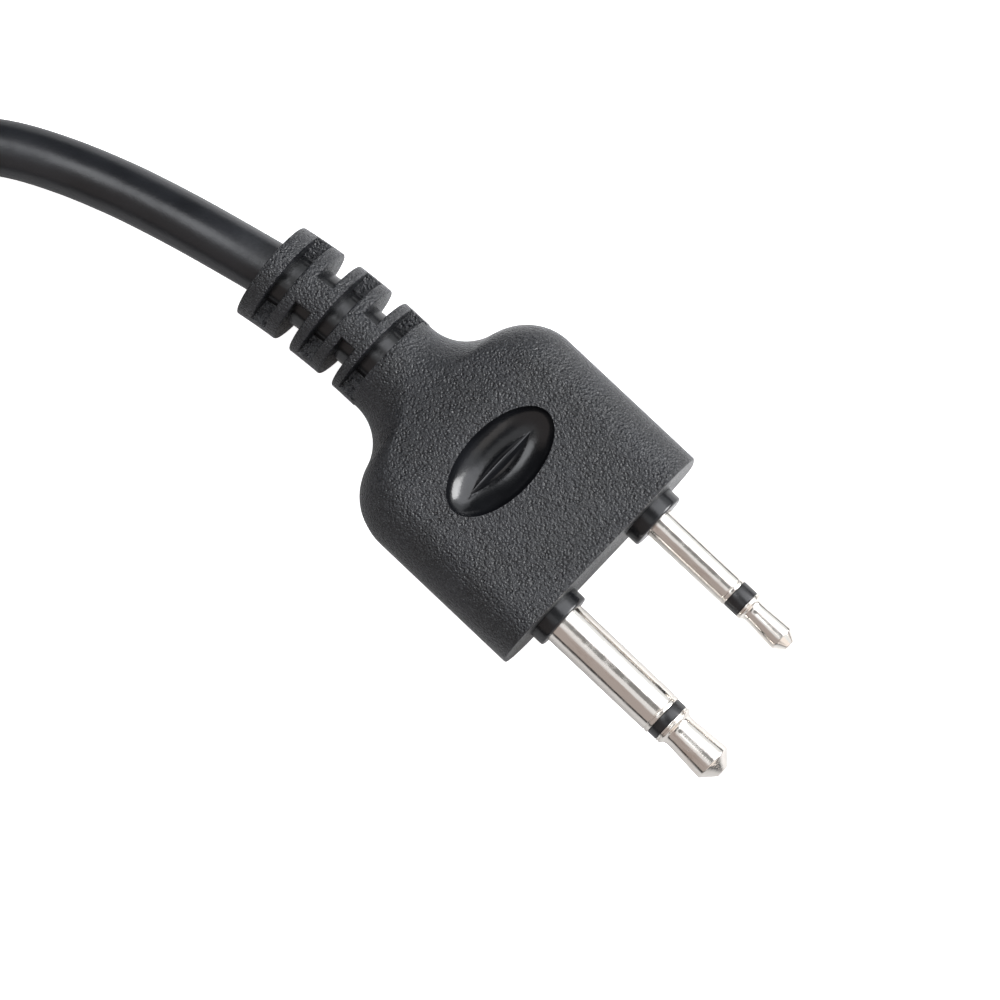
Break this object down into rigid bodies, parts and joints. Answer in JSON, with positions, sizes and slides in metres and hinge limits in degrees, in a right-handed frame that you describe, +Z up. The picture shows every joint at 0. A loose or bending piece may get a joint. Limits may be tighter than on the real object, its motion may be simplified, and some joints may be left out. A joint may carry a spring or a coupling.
{
  "type": "aviation headset two-pin plug and lead",
  "caption": "Moulded radio plug with one large and one small mono jack pin, slotted strain relief, folded cord and keyed quick-release connector.",
  "frame": {"origin": "under the middle of the plug (body, strain relief and pins), on the surface that it lies on", "axes": "+X the way the pins point, +Y from the large pin to the small pin, +Z up through the plug's broad face"},
  "size_m": [0.1956, 0.0379, 0.0138],
  "materials": {
    "plug_pvc": "fine spark-eroded grain",
    "insulator": "smooth",
    "nickel": "bright nickel plate",
    "brass": "plain",
    "gold_contact": "gold flash",
    "cord_jacket": "satin",
    "boot_rubber": "matte",
    "shell_finish": "satin black",
    "tie_strap": "woven hook-and-loop",
    "wire_red": "smooth",
    "wire_white": "smooth",
    "wire_black": "smooth",
    "wire_green": "smooth"
  },
  "bodies": {
    "lead": {"plug_body": "plug_pvc", "strain_relief": "plug_pvc", "inner_mould": "plug_pvc", "large_pin_sleeve": "nickel", "large_pin_insulator": "insulator", "large_pin_tip": "nickel", "large_pin_washer": "insulator", "large_sleeve_lug": "brass", "large_tip_lug": "brass", "small_pin_sleeve": "nickel", "small_pin_insulator": "insulator", "small_pin_tip": "nickel", "small_pin_washer": "insulator", "small_sleeve_lug": "brass", "small_tip_lug": "brass", "large_sleeve_wire": "wire_red", "large_tip_wire": "wire_white", "small_sleeve_wire": "wire_black", "small_tip_wire": "wire_green", "cord_root": "cord_jacket", "cord_crimp": "brass", "cord_lead": "cord_jacket", "cord_tail": "cord_jacket", "cord_hank": "cord_jacket", "hank_tie": "tie_strap", "connector_boot": "boot_rubber", "connector_back_nut": "shell_finish", "connector_cable_clamp": "brass", "connector_shell": "shell_finish", "connector_insert": "insulator", "connector_contact_1": "gold_contact", "connector_contact_2": "gold_contact", "connector_contact_3": "gold_contact", "connector_contact_4": "gold_contact", "connector_contact_5": "gold_contact", "latch_spring": "nickel", "connector_wire_1": "wire_red", "connector_wire_2": "wire_white", "connector_wire_3": "wire_black", "connector_wire_4": "wire_green", "connector_cord_end": "cord_jacket"},
    "button": {"release_button": "nickel"}
  },
  "joints": [
    {"name": "release_press", "type": "slide", "parent": "lead", "child": "button", "axis": [0, 0, -1], "range_m": [0, 0.0008], "stiffness_N_per_m": 300, "springref_m": -0.0006, "deforming": ["latch_spring"]}
  ]
}
